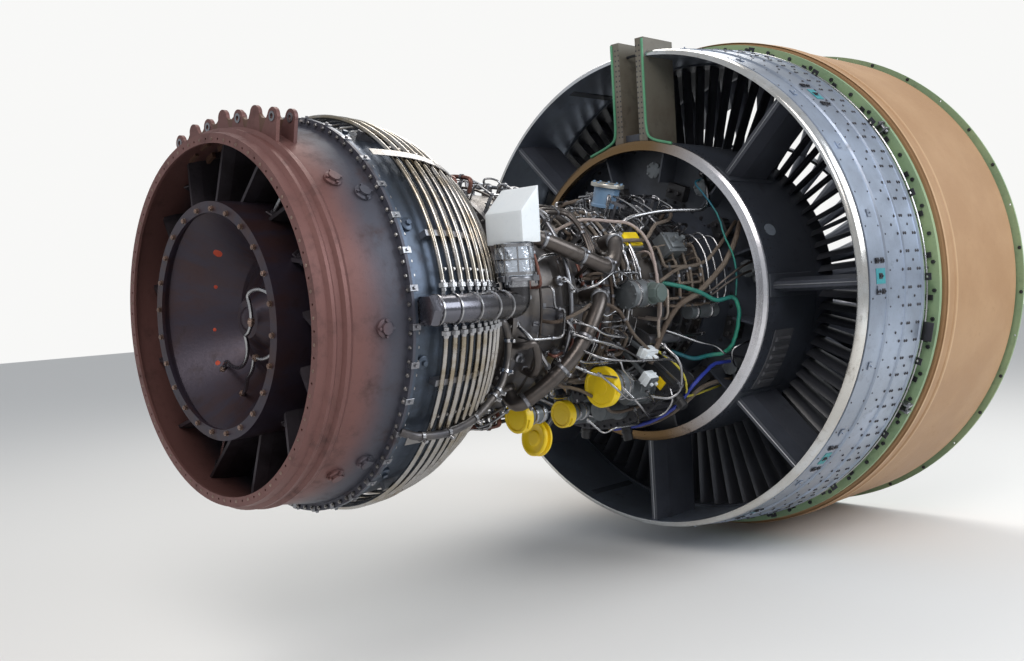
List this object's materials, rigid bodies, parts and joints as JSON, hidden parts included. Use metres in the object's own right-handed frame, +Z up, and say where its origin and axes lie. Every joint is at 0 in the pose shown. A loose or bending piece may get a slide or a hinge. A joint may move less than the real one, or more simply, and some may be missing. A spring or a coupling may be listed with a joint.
{
  "type": "jet engine",
  "caption": "High bypass turbofan engine out of its nacelle, with turning fan, spools and gear train, vane control linkage, core cases, turbine cooling tubes, mounts and exhaust frame.",
  "frame": {"origin": "centre of the inlet flange face, on the shaft line", "axes": "+X forward along the shaft out of the inlet, +Z up towards the pylon, -Y the side with the covered bleed duct"},
  "size_m": [3.934, 2.6898, 2.6898],
  "materials": {
    "green_primer": "matt grey green primer",
    "belt_fabric": "coated fabric",
    "liner_composite": "matt",
    "case_aluminium": "satin",
    "fastener_steel": "dull",
    "dark_paint": "satin",
    "grey_paint": "satin",
    "bronze_ring": "satin, heat tinted",
    "bearing_steel": "ground",
    "core_steel": "dull",
    "titanium": "satin",
    "bare_aluminium": "satin",
    "hot_alloy": "heat stained",
    "turbine_case": "blue heat tint",
    "tinted_tube": "gold heat tint",
    "polished_sheet": "polished",
    "white_cover": "satin",
    "heat_stained": "pink brown heat tint",
    "dish_metal": "dull heat tint",
    "bright_tube": "bright",
    "dark_pipe": "dull",
    "grey_accessory": "satin",
    "yellow_plastic": "satin",
    "gearbox_cast": "painted dark",
    "spinner_paint": "satin"
  },
  "bodies": {
    "engine_frame": {"fan_case": "green_primer", "joint_ring": "green_primer", "pylon_channel": "green_primer", "containment_wrap": "belt_fabric", "fan_liner": "liner_composite", "fan_rear_case": "case_aluminium", "case_bolts": "fastener_steel", "joint_brackets": "fastener_steel", "guide_vane_rings": "dark_paint", "outlet_guide_vanes": "dark_paint", "fan_frame_hub": "dark_paint", "bleed_louvres": "dark_paint", "fan_frame_struts": "grey_paint", "core_splitter": "grey_paint", "front_mount": "grey_paint", "bearing_support": "grey_paint", "hub_rear_ring": "bronze_ring", "bearing_outer_races": "bearing_steel", "compressor_case": "core_steel", "rear_compressor_case": "core_steel", "diffuser_case": "core_steel", "hpt_case": "core_steel", "compressor_stators": "titanium", "vane_levers": "bare_aluminium", "actuator_body": "bare_aluminium", "fuel_nozzles": "bare_aluminium", "fuel_manifold": "bare_aluminium", "tube_straps": "bare_aluminium", "combustor_liner": "hot_alloy", "turbine_nozzles": "hot_alloy", "exhaust_struts": "hot_alloy", "lpt_case": "turbine_case", "cooling_tubes": "tinted_tube", "cooling_manifold": "polished_sheet", "wrapped_duct": "polished_sheet", "duct_cover": "white_cover", "exhaust_frame": "heat_stained", "exhaust_hub": "dish_metal", "exhaust_cone": "dish_metal", "oil_tubes": "bright_tube", "bleed_pipes": "dark_pipe", "core_accessories": "grey_accessory", "gearbox_units": "grey_accessory", "blanking_caps": "yellow_plastic", "gearbox_housing": "gearbox_cast"},
    "low_pressure_rotor": {"spinner": "spinner_paint", "fan_disk": "titanium", "fan_blades": "titanium", "booster_rotor": "titanium", "lp_shaft": "bearing_steel", "lpt_rotor": "hot_alloy"},
    "high_pressure_rotor": {"high_compressor_rotor": "titanium", "high_turbine_rotor": "hot_alloy"},
    "unison_ring_set": {"unison_rings": "bare_aluminium"},
    "crank": {"bell_crank": "bare_aluminium"},
    "rod": {"actuator_rod": "bright_tube"},
    "drive_wheel": {"drive_gear": "bearing_steel"},
    "idler_wheel": {"idler_gear": "bearing_steel"},
    "pump_wheel": {"pump_gear": "bearing_steel"},
    "starter_wheel": {"starter_gear": "bearing_steel"}
  },
  "joints": [
    {"name": "low_rotor_spin", "type": "hinge", "parent": "engine_frame", "child": "low_pressure_rotor", "pos_m": [-0.8, 0, 0], "axis": [1, 0, 0], "continuous": true},
    {"name": "high_rotor_spin", "type": "hinge", "parent": "engine_frame", "child": "high_pressure_rotor", "pos_m": [-1.6, 0, 0], "axis": [1, 0, 0], "continuous": true},
    {"name": "actuator_stroke", "type": "slide", "parent": "engine_frame", "child": "rod", "axis": [1, 0, 0], "range_m": [-0.015, 0.015]},
    {"name": "crank_turn", "type": "hinge", "parent": "engine_frame", "child": "crank", "pos_m": [-1.592, -0.37563, -0.24078], "axis": [0, -0.891, -0.454], "range_deg": [-19.55, 19.55]},
    {"name": "unison_ring_turn", "type": "hinge", "parent": "engine_frame", "child": "unison_ring_set", "pos_m": [-1.76, 0, 0], "axis": [1, 0, 0], "range_deg": [-1.96, 1.96]},
    {"name": "drive_gear_spin", "type": "hinge", "parent": "engine_frame", "child": "drive_wheel", "pos_m": [-1.86, 0, -0.565], "axis": [1, 0, 0], "continuous": true},
    {"name": "idler_gear_spin", "type": "hinge", "parent": "engine_frame", "child": "idler_wheel", "pos_m": [-1.86, -0.08971, -0.55783], "axis": [1, 0, 0], "continuous": true},
    {"name": "pump_gear_spin", "type": "hinge", "parent": "engine_frame", "child": "pump_wheel", "pos_m": [-1.86, -0.17715, -0.53651], "axis": [1, 0, 0], "continuous": true},
    {"name": "starter_gear_spin", "type": "hinge", "parent": "engine_frame", "child": "starter_wheel", "pos_m": [-1.86, -0.26009, -0.50157], "axis": [1, 0, 0], "continuous": true}
  ],
  "couplings": [
    {"joint": "crank_turn", "follows": "actuator_stroke", "rad_per_m": -22.727},
    {"joint": "unison_ring_turn", "follows": "actuator_stroke", "rad_per_m": -2.2727},
    {"joint": "drive_gear_spin", "follows": "high_rotor_spin", "ratio": 0.6},
    {"joint": "idler_gear_spin", "follows": "high_rotor_spin", "ratio": -0.82105},
    {"joint": "pump_gear_spin", "follows": "high_rotor_spin", "ratio": 0.6},
    {"joint": "starter_gear_spin", "follows": "high_rotor_spin", "ratio": -0.82105}
  ]
}
